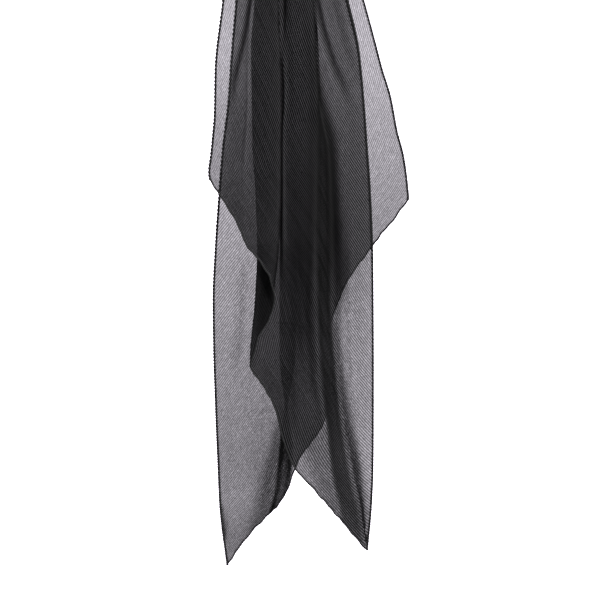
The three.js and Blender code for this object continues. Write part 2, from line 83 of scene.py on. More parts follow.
backFolds = [
    (.01, .0106, -.0098, .0119, .0308, .0145, .0158, -.035, .0135, .0028, .0197, .0188, -.042, .0155, .0013),
    (.1, .0085, 0, .0105, .038, .014, .0155, -.028, .015, .007, .0205, .0205, -.0523, .0145, .0018),
    (.18, .0065, .004, .0095, .044, .0135, .0155, -.022, .0165, .011, .022, .0215, -.0578, .014, .0022),
    (.252, .0055, .0075, .0085, .049, .0135, .016, -.018, .0185, .014, .0235, .0225, -.0622, .013, .0026),
    (.322, .0055, .01, .008, .0525, .0135, .016, -.0115, .019, .0165, .0245, .022, -.0682, .012, .0028),
    (.392, .0065, .012, .0075, .056, .013, .016, -.007, .0185, .0185, .0245, .0205, -.0731, .0105, .003),
    (.462, .008, .0135, .0075, .0595, .013, .0155, -.003, .018, .02, .024, .019, -.0812, .0095, .003),
    (.518, .01, .0155, .0075, .0615, .013, .015, -.001, .0175, .021, .0235, .018, -.0858, .009, .003),
    (.602, .01, .022, .007, .0645, .0125, .014, -.0015, .016, .022, .022, .015, -.0915, .008, .003),
    (.672, .009, .0305, .0065, .0665, .012, .013, -.002, .0145, .022, .021, .015, -.0944, .007, .003),
    (.742, .007, .0434, .0065, .0675, .0115, .012, -.002, .012, .02, .022, .0155, -.0936, .0065, .003),
    (.8, .007, .0434, .0065, .0655, .0105, .01, .003, .009, .013, .026, .0165, -.0917, .0065, .003),
    (.85, .007, .0434, .0065, .063, .01, .0085, .013, .007, .001, .029, .0175, -.0899, .007, .003),
    (.894, .007, .0434, .0065, .063, .01, .008, .016, .005, -.0035, .03, .018, -.0879, .0075, .003),
    (.94, .007, .0434, .0065, .063, .01, .007, .01, .005, -.009, .027, .017, -.086, .007, .003),
    (.965, .007, .0434, .0065, .063, .01, .007, -.002, .005, -.015, .023, .015, -.0846, .007, .003),
    (1.043, .007, .0434, .0065, .063, .01, .007, -.03, .005, -.045, .012, .009, -.0749, .006, .003),
]

# x of the shorter long edge at each drop
frontShortEdge = [
    (.01, -.042), (.042, -.0525), (.084, -.0609), (.126, -.0672), (.168, -.0724),
    (.21, -.0767), (.252, -.0805), (.35, -.0913), (.413, -.0925), (.441, -.0948),
    (.468, -.0974), (.494, -.1005), (.503, -.0994),
]

backShortEdge = [
    (.01, .042), (.042, .0532), (.084, .0651), (.126, .0777), (.168, .0903),
    (.21, .1029), (.252, .1152), (.315, .1323), (.349, .1411), (.386, .1526),
    (.437, .1624), (.469, .1708), (.496, .175), (.53, .1786),
]

# x of the end hem at each drop
frontHem = [
    (.503, -.0994), (.524, -.0858), (.543, -.0734), (.568, -.0591), (.594, -.0483),
    (.612, -.0336), (.629, -.0214), (.641, -.0154), (.668, -.0098), (.701, -.0178),
    (.722, -.0312), (.746, -.0378), (.763, -.0434), (.781, -.0322), (.798, -.0204),
    (.827, -.0064), (.869, .0042), (.893, .0132), (.907, .0203), (.931, .042),
    (.95, .0588), (.979, .084), (1.011, .1106), (1.0206, .1204),
]

backHem = [
    (.53, .1786), (.559, .1579), (.58, .14), (.602, .1239), (.624, .107),
    (.65, .0903), (.678, .0787), (.699, .0707), (.708, .066), (.742, .0434),
    (.79, .0545), (.83, .063), (.855, .0542), (.874, .0399), (.895, .0252),
    (.918, .016), (.941, .007), (.96, -.0056), (.976, -.021), (.998, -.042),
    (1.021, -.0602), (1.043, -.0749),
]

# side is the sign of y, run the sign in x of the path, and stack is 1 where it starts on the outermost layer.
# corner, passesA, passesB and point are the drops where the hem starts, crosses a and b, and ends.
# slide is how much closer the cloth lies to the start of its path low down.
front = {
    "side": -1, "run": 1, "stack": 1, "folds": frontFolds, "shortEdge": frontShortEdge, "hem": frontHem,
    "corner": 0.503, "passesA": 0.668, "passesB": 0.763, "point": 1.0206, "slide": 0.20,
}
back = {
    "side": 1, "run": -1, "stack": -1, "folds": backFolds, "shortEdge": backShortEdge, "hem": backHem,
    "corner": 0.530, "passesA": 0.742, "passesB": 0.830, "point": 1.043, "slide": -0.02,
}

# how a section's control points stand: rise and slack in shares of a stretch, the others in turns of a fold
shape = {"rise": 0.58, "slack": 0.42, "step": 1.6, "crest": 0.25, "lean": 0.15, "stand": 1.3}
marks = {"start": 0, "a": 3, "b": 6, "c": 10, "d": 13, "long": 16}  # which control point is at each
pathSamples = 10  # points of a path from one control point to the next


def mix(start, end, share):
    return start + (end - start) * share


def smooth(t):
    t = np.clip(t, 0, 1)
    return t * t * (3 - 2 * t)


def hermite(start, end, leave, arrive, t):
    return mix(start, end, t * t * (3 - 2 * t)) + leave * t * (1 - t) ** 2 - arrive * t * t * (1 - t)


def readTable(rows, at):  # monotone cubic through each column, against the first
    table = np.array(rows)
    drops, values = table[:, 0], table[:, 1:]
    widths = np.diff(drops)[:, None]
    chords = np.diff(values, axis=0) / widths
    slopes = np.zeros_like(values)
    slopes[0], slopes[-1] = chords[0], chords[-1]
    before, after = chords[:-1], chords[1:]
    same = before * after > 0
    total = np.where(same, before + after, 1)
    slopes[1:-1] = np.where(same, 2 * before * after / total, 0)
    i = np.clip(np.searchsorted(drops, at) - 1, 0, len(drops) - 2)
    t = np.clip((at - drops[i]) / widths[i, 0], 0, 1)[:, None]
    return hermite(values[i], values[i + 1], slopes[i] * widths[i], slopes[i + 1] * widths[i], t)


def throughPoints(controls):  # centripetal Catmull-Rom through controls x levels x 2
    ends = [2 * controls[0] - controls[1], 2 * controls[-1] - controls[-2]]
    points = np.concatenate([ends[:1], controls, ends[1:]])
    gaps = np.sqrt(np.linalg.norm(np.diff(points, axis=0), axis=2, keepdims=True)) + 3e-8
    line = [controls[0]]
    for i in range(1, len(points) - 2):
        near, start, end, far = points[i - 1:i + 3]
        before, here, after = gaps[i - 1:i + 2]
        leave = ((start - near) / before - (end - near) / (before + here) + (end - start) / here) * here
        arrive = ((end - start) / here - (far - start) / (here + after) + (far - end) / after) * here
        line += [hermite(start, end, leave, arrive, (n + 1) / pathSamples) for n in range(pathSamples)]
    return np.array(line)


def sectionPaths(fall, drops):  # points x levels x (along, out)
    row = dict(zip(foldColumns[1:], readTable(fall["folds"], drops).T))
    turn, reach = row["turn"], row["turn"] * fall["stack"]
    a, b, c, d, longEnd = (row[name] * fall["run"] for name in ("a", "b", "c", "d", "long"))
    start = readTable(fall["shortEdge"], np.minimum(drops, fall["corner"]))[:, 0] * fall["run"]
    overlap = (c - d) / (2 * turn)
    folded, opened = smooth(overlap), smooth(-overlap)

    def point(along, out):
        return np.stack([along + 0 * turn, out], axis=1)

    def between(one, other, share):
        return mix(one, other, np.reshape(share, (-1, 1)))

    foldC, foldD = point(c, row["cOut"]), point(d, row["dOut"])
    lean, stand = shape["lean"] * turn, shape["stand"] * reach
    step, crest = shape["step"] * turn, shape["crest"] * reach

    def standing(turned, straight, stepped):
        return between(between(straight, turned, folded), stepped, opened)

    controls = [
        point(start, row["startOut"]),
        point(mix(start, a - turn, 0.5), mix(row["startOut"], row["aOut"] + reach, shape["rise"])),
        point(a - turn, row["aOut"] + reach),
        point(a, row["aOut"]),
        point(a - turn, row["aOut"] - reach),
        point(b + turn, row["bOut"] + reach),
        point(b, row["bOut"]),
        point(b + turn, row["bOut"] - reach),
        point(mix(b, c, shape["slack"]), row["midOut"]),
        between(point(c - turn, row["cOut"] + reach), point(c - step, row["cOut"] + crest), opened),
        foldC,
        standing(point(c - turn, row["cOut"] - reach), point(c - lean, row["cOut"] - stand),
                 mix(foldC, foldD, 1 / 3)),
        standing(point(d + turn, row["dOut"] + reach), point(d + lean, row["dOut"] + stand),
                 mix(foldC, foldD, 2 / 3)),
        foldD,
        between(point(d + turn, row["dOut"] - reach), point(d + step, row["dOut"] - crest), opened),
        point(mix(d, longEnd, 0.5), row["wideOut"]),
        point(longEnd, row["longOut"]),
    ]
    return throughPoints(np.array(controls))


def hemIndex(fall, line, drop):  # where on its path the cloth begins
    if drop <= fall["corner"]:
        return 0.0
    first, last, sign = marks["b"], marks["long"], 1
    if drop < fall["passesA"]:
        first, last = marks["start"], marks["a"]
    elif drop < fall["passesB"]:
        first, last, sign = marks["a"], marks["b"], -1
    first, last = first * pathSamples, last * pathSamples
    x = readTable(fall["hem"], np.array([drop]))[0, 0] * fall["run"] * sign
    along = line[first:last + 1, 0] * sign
    i = int(np.argmax(along[1:] >= x)) if (along[1:] >= x).any() else len(along) - 2
    return first + i + float(np.clip((x - along[i]) / (along[i + 1] - along[i]), 0, 1))


def restAt(level):  # distance at rest from the top line, for a distance down the hung cloth
    most, loss = hang["topStretch"], hang["loss"]
    return np.sign(level) * np.log(most / (most - loss * np.abs(level))) / loss


def levelAt(rest):
    return np.sign(rest) * hang["topStretch"] * (1 - np.exp(-hang["loss"] * np.abs(rest))) / hang["loss"]


def clothSpan(level):  # from which width to which the cloth reaches at a level
    rest = restAt(level)
    low = np.clip((rest - cloth["frontEdge"]) / cloth["slant"], 0, cloth["width"])
    high = np.clip((rest + cloth["backEdge"]) / cloth["slant"], 0, cloth["width"])
    return low, high


grid = {
    "level": 0.002,  # spacing down the cloth
    "shares": 900,  # points across it
    "overTop": 33,  # levels of the half round at the top
    "short": 1e-4,  # how far above its point a fall's last level lies
    "sharpest": 600,  # most that a bend counts for, per metre
}

# Soft troughs and ridges, with painted shade and painted highlights. lift is outwards; the thickening value
# is how much thicker the cloth looks where it bunches, and the same amount paints shade there by taking away
# painted highlight;
# light is how much more painted highlight its ribs get. A line gives drop, place and half width. Places count
# the stretches: 4.3 is 0.3 of the way from d to the long edge.
creases = {
    "front": [
        {"lift": -0.003, "denseAndShaded": 0.75, "line": [
            (.19, .55, .003), (.252, .47, .003), (.315, .38, .0035), (.364, .27, .0045),
            (.42, .2, .005)]},
        {"lift": 0.0016, "denseAndShaded": -0.12, "line": [
            (.21, .53, .003), (.28, .51, .0035), (.38, .5, .003), (.54, .47, .0035)]},
        {"lift": -0.003, "denseAndShaded": 0.85, "line": [
            (.2, 4.36, .0035), (.28, 4.38, .004), (.336, 4.46, .005), (.372, 4.6, .006),
            (.41, 4.72, .006)]},
        {"lift": 0.002, "denseAndShaded": -0.1, "line": [
            (.25, 4.3, .003), (.308, 4.3, .004), (.345, 4.36, .005), (.4, 4.5, .006)]},
        {"lift": -0.0012, "denseAndShaded": 1.8, "line": [
            (.18, 4.02, .004), (.3, 4.01, .0065), (.36, 4.03, .0095), (.43, 4.04, .01),
            (.504, 4.05, .009), (.588, 4.07, .0105), (.65, 4.09, .0125), (.74, 4.1, .011)]},
        {"denseAndShaded": 0.95, "line": [
            (.16, 2.9, .008), (.36, 2.91, .009), (.56, 2.91, .008), (.7, 2.86, .0055),
            (.77, 2.885, .005), (.83, 2.93, .005), (.93, 2.95, .005)]},
        {"denseAndShaded": 0.45, "line": [
            (.66, 2.6, .004), (.742, 2.61, .0045), (.8, 2.59, .0045), (.88, 2.58, .0045)]},
        {"denseAndShaded": 0.24, "line": [
            (.08, 4.55, .022), (.3, 4.6, .026), (.5, 4.7, .024), (.68, 4.75, .02)]},
        {"denseAndShaded": 0.42, "line": [
            (.82, 2.75, .022), (.9, 2.85, .02), (.96, 2.9, .016), (1.06, 2.9, .02)]},
        {"denseAndShaded": 1.7, "line": [
            (.52, 1.5, .018), (.64, 1.5, .02), (.76, 1.4, .02), (.84, 1.4, .015)]},
        {"denseAndShaded": 0.8, "line": [
            (.72, 3.6, .008), (.86, 3.3, .0125), (.924, 3.45, .0175), (.98, 3.6, .018),
            (1.08, 3.6, .016)]},
        {"denseAndShaded": 0.8, "line": [
            (.66, 4.05, .006), (.742, 4.06, .0065), (.812, 4.08, .0085), (.868, 4.1, .01),
            (.96, 4.12, .01)]},
        {"denseAndShaded": -0.18, "line": [
            (.64, 4.34, .006), (.74, 4.32, .006), (.86, 4.3, .006)]},
        {"denseAndShaded": 0.12, "line": [
            (.56, 4.6, .016), (.72, 4.65, .016), (.86, 4.65, .016)]},
        {"denseAndShaded": 0.1, "line": [
            (.78, 4.6, .022), (.9, 4.6, .022), (1, 4.6, .02), (1.1, 4.6, .02)]},
        {"denseAndShaded": 0.9, "line": [
            (.15, 3, .0035), (.364, 3, .004), (.56, 3, .004), (.74, 3, .0035)]},
        {"denseAndShaded": -0.3, "light": 1, "line": [
            (.86, 4.3, .0032), (.93, 4.36, .0036), (.987, 4.42, .0036), (1.12, 4.45, .0036)]},
        {"denseAndShaded": 0.7, "light": 0.1, "line": [
            (.85, 4.4, .006), (.93, 4.35, .009), (1.01, 4.35, .01), (1.12, 4.35, .01)]},
        {"denseAndShaded": 0.8, "line": [
            (.26, 3.5, .012), (.42, 3.5, .012), (.56, 3.5, .012), (.76, 3.5, .011)]},
        {"denseAndShaded": 0.6, "line": [
            (.12, .9, .0075), (.34, .9, .0075), (.48, .9, .007), (.66, .92, .006)]},
        {"denseAndShaded": 0.3, "light": 4, "line": [
            (.26, 2.47, .0024), (.38, 2.464, .0022), (.46, 2.444, .0018), (.6, 2.425, .0014)]},
        {"denseAndShaded": 0.7, "line": [
            (.55, 2.7, .006), (.64, 2.7, .0065), (.7, 2.72, .007), (.79, 2.75, .007)]},
        {"light": 0.7, "line": [
            (.5, 2.52, .003), (.6, 2.51, .0032), (.66, 2.515, .0032), (.8, 2.48, .0035)]},
        {"denseAndShaded": 0.3, "light": 4, "line": [
            (.69, 2.97, .0015), (.76, 2.97, .0015), (.86, 2.97, .0015)]},
        {"denseAndShaded": 0.16, "line": [
            (.36, .34, .013), (.5, .36, .014), (.64, .38, .015)]},
        {"lift": 0.0022, "line": [
            (.27, 2.5, .0022), (.34, 2.5, .0025), (.462, 2.47, .0022), (.6, 2.44, .003),
            (.68, 2.46, .003)]},
        {"lift": 0.0016, "line": [
            (.24, 2.16, .003), (.4, 2.2, .0035), (.56, 2.18, .004)]},
        {"lift": 0.001, "line": [
            (.56, 4.55, .006), (.7, 4.48, .007), (.86, 4.4, .006)]},
        {"lift": -0.0016, "denseAndShaded": 1.5, "line": [
            (.08, 2.51, .003), (.28, 2.5, .003), (.36, 2.49, .002)]},
    ],
    "back": [
        {"denseAndShaded": 0.34, "line": [
            (.14, 4.65, .015), (.3, 4.6, .02), (.42, 4.5, .026), (.6, 4.3, .024)]},
        {"denseAndShaded": 0.5, "line": [
            (.8, 4.04, .005), (.868, 4.05, .008), (.924, 4.1, .013), (.96, 4.12, .015),
            (1.08, 4.05, .015)]},
        {"denseAndShaded": -0.2, "light": 0.9, "line": [
            (.78, 3.6, .008), (.868, 3.6, .01), (.94, 3.6, .011), (1.08, 3.6, .011)]},
        {"denseAndShaded": 1.9, "line": [
            (.958, 4.985, .0014), (.992, 4.972, .0024), (1.016, 4.985, .0014)]},
        {"lift": -0.0026, "denseAndShaded": 0.3, "line": [
            (.15, .42, .004), (.24, .36, .0045), (.33, .3, .005), (.4, .2, .006)]},
        {"lift": 0.002, "denseAndShaded": -0.06, "line": [
            (.2, .55, .005), (.33, .48, .006), (.47, .44, .007)]},
        {"lift": -0.0022, "denseAndShaded": 0.12, "line": [
            (.17, 4.7, .004), (.26, 4.62, .005), (.37, 4.5, .006)]},
        {"lift": 0.0018, "denseAndShaded": -0.05, "line": [
            (.52, 4.4, .006), (.68, 4.46, .008), (.85, 4.52, .007)]},
        {"lift": -0.0018, "denseAndShaded": 0.1, "line": [
            (.6, 4.66, .006), (.72, 4.72, .006), (.8, 4.8, .005)]},
        {"lift": 0.0022, "denseAndShaded": -0.05, "line": [
            (.16, 4.3, .0035), (.3, 4.26, .0045), (.43, 4.3, .005)]},
    ],
}
fadeIn, fadeOut = 4, 3  # a crease fades in over a quarter of its length and out over a third


def creasesAt(fall, drop, at, markLengths):  # lift, thickening with painted shade, and painted light of points at lengths along a path
    found = np.zeros((3, len(at)))
    for crease in creases["front" if fall is front else "back"]:
        top, bottom = crease["line"][0][0], crease["line"][-1][0]
        reach = bottom - top
        fade = smooth(fadeIn * (drop - top) / reach) * smooth(fadeOut * (bottom - drop) / reach)
        if fade > 0:
            place, width = readTable(crease["line"], np.array([drop]))[0]
            away = (at - np.interp(place, np.arange(len(markLengths)), markLengths)) / width
            for total, key in zip(found, ("lift", "denseAndShaded", "light")):
                total += fade * crease.get(key, 0) * np.exp(-away ** 2)
    return found


def fallRows(fall, drops):  # levels x shares x (x, out, thickening with painted shade, painted light), from the left
    shares = np.linspace(0, 1, grid["shares"])
    paths = sectionPaths(fall, drops)
    slide = fall["slide"] * smooth((drops - hang["slideFrom"]) / hang["slideOver"])
    rows = np.empty((len(drops), len(shares), 4))
    for k, drop in enumerate(drops):
        line = paths[:, k]
        lengths = np.concatenate([[0], np.cumsum(np.linalg.norm(np.diff(line, axis=0), axis=1))])
        begin = np.interp(hemIndex(fall, line, drop), np.arange(len(line)), lengths)
        at = mix(begin, lengths[-1], shares + slide[k] * shares * (shares - 1))
        markLengths = lengths[[mark * pathSamples for mark in marks.values()]]
        lift, rows[k, :, 2], rows[k, :, 3] = creasesAt(fall, drop, at, markLengths)
        along, out = np.interp(at, lengths, line[:, 0]), np.interp(at, lengths, line[:, 1])
        tilt = np.arctan2(np.gradient(out), np.gradient(along))
        rows[k, :, 0] = (along - lift * np.sin(tilt)) * fall["run"]
        rows[k, :, 1] = out + lift * np.cos(tilt)
    return rows if fall["run"] > 0 else rows[:, ::-1]


def hungCloth():  # levels, places on the middle of the cloth (levels x shares x 3), thickening with painted shade, and painted light
    top = hang["holdRadius"]
    gap = hang["arc"] - top
    backDrops, frontDrops = (
        np.linspace(top, fall["point"] - grid["short"], int(fall["point"] / grid["level"]))
        for fall in (back, front))
    backRows, frontRows = fallRows(back, backDrops), fallRows(front, frontDrops)

    def onFall(fall, rows, drops):
        z = np.broadcast_to(-drops[:, None], rows.shape[:2])
        return np.stack([rows[..., 0], rows[..., 1] * fall["side"], z], axis=2)

    angles = np.radians(np.linspace(-90, 90, grid["overTop"])[1:-1])[:, None]
    share = (1 - angles / (math.pi / 2)) / 2
    x, out, denserAndShaded, lighter = (mix(frontRows[0, :, axis], backRows[0, :, axis], share) for axis in range(4))
    over = np.stack([x, -out * np.sin(angles), out * np.cos(angles) - top], axis=2)
    levels = np.concatenate([
        -(backDrops + gap)[::-1], angles[:, 0] / (math.pi / 2) * hang["arc"], frontDrops + gap])
    places = np.concatenate([
        onFall(back, backRows, backDrops)[::-1], over, onFall(front, frontRows, frontDrops)])
    thickeningAndShade = 1 + np.concatenate([backRows[::-1, :, 2], denserAndShaded, frontRows[..., 2]])
    lighting = np.concatenate([backRows[::-1, :, 3], lighter, frontRows[..., 3]])
    return levels, places, thickeningAndShade, lighting


def facing(places):  # unit normals of a grid, on the side that shows
    down, across = np.gradient(places, axis=0), np.gradient(places, axis=1)
    normal = np.cross(down, across)
    return normal / np.maximum(np.linalg.norm(normal, axis=2, keepdims=True), 1e-12)


def bending(places):  # how sharply the cloth turns across its width, per metre
    step = np.gradient(places, axis=1)
    length = np.maximum(np.linalg.norm(step, axis=2, keepdims=True), 1e-9)
    return np.linalg.norm(np.gradient(step / length, axis=1), axis=2) / length[..., 0]


levels, places, thickeningAndShade, lighting = hungCloth()
normals = facing(places)
bends = np.minimum(bending(places), grid["sharpest"])
print("hung surface", places.shape)


def onGrid(table, u, rest):  # reads a table of the hung cloth at places of the cloth at rest
    level = np.clip(levelAt(rest), levels[0], levels[-1])
    low, high = clothSpan(level)
    share = np.clip((u - low) / np.maximum(high - low, 1e-9), 0, 1) * (table.shape[1] - 1)
    row = np.interp(level, levels, np.arange(len(levels)))
    r = np.clip(row.astype(int), 0, table.shape[0] - 2)
    c = np.clip(share.astype(int), 0, table.shape[1] - 2)
    down, across = row - r, share - c
    if table.ndim == 3:
        down, across = down[..., None], across[..., None]
    upper = mix(table[r, c], table[r, c + 1], across)
    return mix(upper, mix(table[r + 1, c], table[r + 1, c + 1], across), down)


pleats = {
    "count": 296,
    "facets": 4,  # columns of faces in each
    "crowding": 0.12,  # closer together towards both ends, by this share
    "finerBack": 0.10,  # and towards the back end
    "flank": 0.00178,  # one side of a pleat, ironed flat
    "shallow": 0.0003,  # least depth, where the cloth is pulled nearly flat
    "deep": 0.0013,
    "unevenDepth": 0.18,  # spread of their depths, as a share, and its limit
    "mostUneven": 0.4,
    "closest": 0.0005,  # least pitch
    "lean": 0.10,  # how far ridges lean over, in pitches
    "foldWeight": 0.012,  # metres: how strongly points gather at folds
    "tries": 480,  # points along a pleat from which its own are chosen
    "evenOver": 14,  # rows of points over which their spacing is evened
    "evenings": 2,  # how many times
    "probe": 0.0004,  # how far away the cloth's stretch and width are measured
    "alongSamples": {"front": 118, "back": 116, "top": 40},
    "seed": 41,
}
alongPleat = math.hypot(1, cloth["slant"])  # length of a pleat for each metre across the cloth


def pleatStart(number):  # rest distance of a pleat's end at the left long edge
    middle = (cloth["frontEdge"] - cloth["backEdge"]) / 2
    half = (cloth["frontEdge"] + cloth["backEdge"]) / 2
    t = 2 * number / pleats["count"] - 1
    shift = pleats["crowding"] * np.sin(math.pi * t) / math.pi + pleats["finerBack"] * (t * t - 1) / 2
    return middle + half * (t + shift)


def pleatNumber(start):  # the other way round, from a fine table
    numbers = np.linspace(0, pleats["count"], 4001)
    return np.interp(start, pleatStart(numbers), numbers)


def evened(rows, reach):  # each row averaged with those up to reach rows before and after it
    padded = np.concatenate([rows[:1]] * reach + [rows] + [rows[-1:]] * reach)
    sums = np.concatenate([0 * rows[:1], np.cumsum(padded, axis=0)])
    return (sums[2 * reach + 1:] - sums[:-2 * reach - 1]) / (2 * reach + 1)


def pleatLines(numbers, uFrom, uTo, samples):  # u and rest of points along pleats, closer together at folds
    fine = np.linspace(0, 1, pleats["tries"])
    start = pleatStart(numbers)[:, None]
    u = uFrom[:, None] + (uTo - uFrom)[:, None] * fine
    rest = start + cloth["slant"] * u
    steps = np.linalg.norm(np.diff(onGrid(places, u, rest), axis=1), axis=2)
    weight = steps * (1 + pleats["foldWeight"] * onGrid(bends, u, rest)[:, 1:]) + 1e-9
    reached = np.concatenate([np.zeros((len(numbers), 1)), np.cumsum(weight, axis=1)], axis=1)
    even = np.linspace(0, 1, samples)
    share = np.array([np.interp(even * line[-1], line, fine) for line in reached])
    for _ in range(pleats["evenings"]):
        share = evened(share, pleats["evenOver"])
    u = uFrom[:, None] + (uTo - uFrom)[:, None] * share
    return u, start + cloth["slant"] * u


def pleatedPoints(numbers, u, rest):  # places of points on pleated cloth, how gathered and turned it is, its thickening with painted shade and its painted light
    probe = pleats["probe"]
    here, normal = onGrid(places, u, rest), onGrid(normals, u, rest)
    inward = np.where(u > cloth["width"] / 2, -1, 1)
    run = onGrid(places, u + inward * probe, rest + inward * probe * cloth["slant"]) - here
    run *= (inward / probe)[..., None]
    stretch = np.maximum(np.linalg.norm(run, axis=2), 1e-6)
    along = run / stretch[..., None]
    towards = np.where(rest > 0, -1, 1)
    apart = (onGrid(places, u, rest + towards * probe) - here) * (towards / probe)[..., None]
    apart -= along * (apart * along).sum(axis=2, keepdims=True)
    widen = np.linalg.norm(apart, axis=2)
    pitch = widen * np.gradient(pleatStart(numbers), numbers)[:, None]
    pitch = np.clip(pitch, pleats["closest"], 2 * pleats["flank"])
    depth = np.clip(np.sqrt(pleats["flank"] ** 2 - (pitch / 2) ** 2), pleats["shallow"], pleats["deep"])
    uneven = np.random.default_rng(pleats["seed"]).normal(0, pleats["unevenDepth"], pleats["count"] + 1)
    uneven = np.clip(uneven, -pleats["mostUneven"], pleats["mostUneven"])
    depth *= 1 + uneven[np.minimum(numbers.astype(int), pleats["count"])][:, None]
    wave = np.cos(2 * math.pi * numbers)[:, None]  # 1 on ridges, -1 in valleys
    side = apart / np.maximum(widen, 1e-9)[..., None]
    moved = here + normal * (wave * depth / 2)[..., None] + side * (wave * pitch * pleats["lean"])[..., None]
    gathered = 2 * pleats["flank"] / pitch * alongPleat / stretch
    turned = np.hypot(normal[..., 1], normal[..., 2])  # 1 in the plane of a fall, 0 edge-on
    return moved, gathered, turned, onGrid(thickeningAndShade, u, rest), onGrid(lighting, u, rest)


def pleatedPatch(levelFrom, levelTo, samples):  # the pleats between two levels of the hung cloth
    restFrom, restTo = restAt(levelFrom), restAt(levelTo)
    reach = cloth["slant"] * cloth["width"]
    first = pleatNumber(max(restFrom - reach, -cloth["backEdge"])) * pleats["facets"]
    last = pleatNumber(min(restTo, cloth["frontEdge"])) * pleats["facets"]
    numbers = np.arange(math.ceil(first - 1e-6), math.floor(last + 1e-6) + 1) / pleats["facets"]
    start = pleatStart(numbers)
    uFrom = np.clip((restFrom - start) / cloth["slant"], 0, cloth["width"])
    uTo = np.clip((restTo - start) / cloth["slant"], 0, cloth["width"])
    u, rest = pleatLines(numbers, uFrom, uTo, samples)
    points, gathered, turned, thickAndShaded, light = pleatedPoints(numbers, u, rest)
    across = np.broadcast_to(numbers[:, None] * 2 * pleats["flank"], u.shape)
    flat = np.stack([u * alongPleat, across], axis=2)
    return points, flat, gathered, turned, thickAndShaded, light, cutSize(numbers, u)


def cutSize(numbers, u):  # width and length, square to and along the long edges, of pleats opened out flat
    ends = pleatStart(np.array([0, pleats["count"]])) * cloth["slant"] / alongPleat
    edge = np.array([ends[1] - ends[0], 2 * pleats["flank"] * pleats["count"]])
    edge /= np.linalg.norm(edge)
    along = pleatStart(numbers)[:, None] * cloth["slant"] / alongPleat + u * alongPleat
    across = 2 * pleats["flank"] * numbers[:, None]
    width, length = along * edge[1] - across * edge[0], along * edge[0] + across * edge[1]
    return float(np.ptp(width)), float(np.ptp(length))


def gridMesh(name, points, flat, values):  # a sheet from rows of points, with its flat place as UV
    rows, columns = points.shape[:2]
    corner = np.arange((rows - 1) * columns).reshape(rows - 1, columns)[:, :-1].ravel()
    quads = np.stack([corner, corner + 1, corner + columns + 1, corner + columns], axis=1)
    mesh = bpy.data.meshes.new(name)
    mesh.from_pydata(points.reshape(-1, 3).tolist(), [], quads.tolist())
    layer = mesh.uv_layers.new(name="flat cloth")
    layer.data.foreach_set("uv", flat.reshape(-1, 2)[quads.ravel()].ravel())
    for key, value in values.items():
        mesh.attributes.new(key, "FLOAT", "POINT").data.foreach_set("value", value.ravel().astype(np.float32))
    mesh.shade_smooth()
    piece = bpy.data.objects.new(name, mesh)
    bpy.context.scene.collection.objects.link(piece)
    return piece


def newMaterial(name, colour, roughness):
    material = bpy.data.materials.new(name)
    material.use_nodes = True
    shader = material.node_tree.nodes["Principled BSDF"]
    shader.inputs["Base Color"].default_value = (*colour, 1)
    shader.inputs["Roughness"].default_value = roughness
    return material, material.node_tree.nodes, material.node_tree.links, shader


def mathNode(tree, operation, *values):
    node = tree.nodes.new("ShaderNodeMath")
    node.operation = operation
    for socket, value in zip(node.inputs, values):
        if isinstance(value, bpy.types.NodeSocket):
            tree.links.new(value, socket)
        else:
            socket.default_value = value
    return node.outputs[0]


chiffonLook = {
    "lit": (0.093, 0.090, 0.098),  # painted highlight colour on the side of each pleat that faces the lamp, and the cloth's own near-black colour for the rest of it
    "dark": (0.0034, 0.0033, 0.0036),
    "narrow": 6,  # how narrow the painted highlight on each pleat is
    "roughness": 0.62,
    "sheen": 0.05,
    "sheenRoughness": 0.35,
    "sheenTint": (0.75, 0.76, 0.85),
    "specular": 0.22,
    "ribContrast": 0.27,  # how much denser one side of each pleat looks
    "ribWander": 0.10,
    "streaks": 0.10,
    "streakScale": (60, 420),
    "blotches": 0.16,
    "blotchScale": 160,
    "speckles": 0.30,
    "speckleScale": (420, 620),
    "yarnScale": 2100,
    "yarns": 0.12,
    "yarnBump": 0.25,
    "yarnDepth": 0.0001,
}


